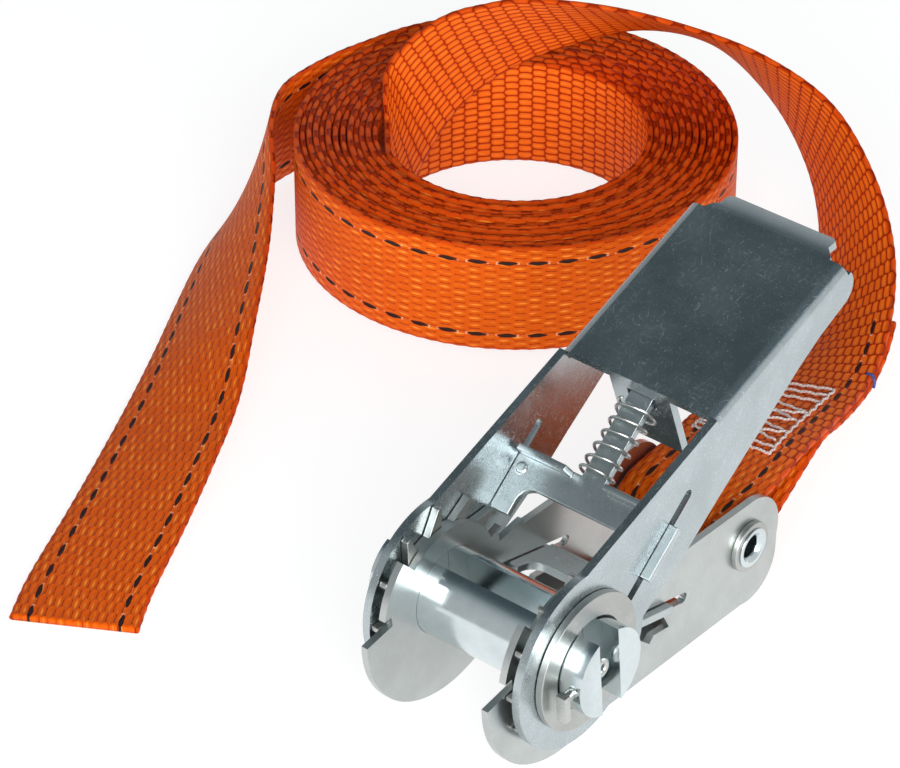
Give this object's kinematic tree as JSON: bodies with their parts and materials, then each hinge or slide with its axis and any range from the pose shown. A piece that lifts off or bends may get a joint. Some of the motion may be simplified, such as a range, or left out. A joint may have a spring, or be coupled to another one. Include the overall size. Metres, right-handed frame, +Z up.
{
  "type": "ratchet tie down",
  "caption": "Light ratchet tie down: steel ratchet frame with folding handle, sliding pawls and slotted spool, sewn to a coiled orange webbing strap.",
  "frame": {"origin": "on the floor, under the middle of the whole part's bounding box", "axes": "+Z up; X along the spool axis, +X towards the ratchet's right-hand side; +Y from the spool to the rear rivet"},
  "size_m": [0.173, 0.2108, 0.0656],
  "materials": {
    "frame_steel": "zinc plated, satin, lightly scratched",
    "handle_steel": "zinc plated, satin, darker top",
    "pawl_steel": "zinc plated, satin",
    "spring_steel": "bright wire",
    "spool_steel": "bright turned steel",
    "washer_steel": "zinc plated, satin",
    "rivet_steel": "bright plated",
    "pin_steel": "dull wire",
    "orange_webbing": "woven orange polyester with thin dark tracer lines"
  },
  "bodies": {
    "frame": {"base_frame": "frame_steel", "rear_rivet": "rivet_steel", "rivet_sleeve": "rivet_steel", "rivet_washer_right": "washer_steel", "rivet_washer_left": "washer_steel", "lock_spring": "spring_steel", "webbing_eye": "orange_webbing", "webbing_lead": "orange_webbing", "webbing_coil": "orange_webbing", "webbing_tail": "orange_webbing"},
    "handle": {"handle": "handle_steel", "drive_spring": "spring_steel"},
    "spool": {"shaft_half_front": "spool_steel", "shaft_half_rear": "spool_steel", "ratchet_wheel_right": "washer_steel", "ratchet_wheel_left": "washer_steel", "hub_washer_right": "washer_steel", "hub_washer_left": "washer_steel", "cotter_pin_right": "pin_steel", "cotter_pin_left": "pin_steel"},
    "drive_pawl": {"drive_pawl": "pawl_steel"},
    "lock_pawl": {"lock_pawl": "pawl_steel"}
  },
  "joints": [
    {"name": "handle_hinge", "type": "hinge", "parent": "frame", "child": "handle", "pos_m": [0.06274, -0.06755, 0.0217], "axis": [1, 0, 0], "range_deg": [-11.7, 149.8]},
    {"name": "spool_spin", "type": "hinge", "parent": "frame", "child": "spool", "pos_m": [0.06274, -0.06755, 0.0217], "axis": [1, 0, 0], "continuous": true},
    {"name": "drive_pawl_slide", "type": "slide", "parent": "handle", "child": "drive_pawl", "axis": [0, 0.776, 0.6307], "range_m": [-0.0022, 0.004], "deforming": ["drive_spring"]},
    {"name": "lock_pawl_slide", "type": "slide", "parent": "frame", "child": "lock_pawl", "axis": [0, 0.9715, -0.2368], "range_m": [-0.0022, 0.0025], "deforming": ["lock_spring"]}
  ]
}
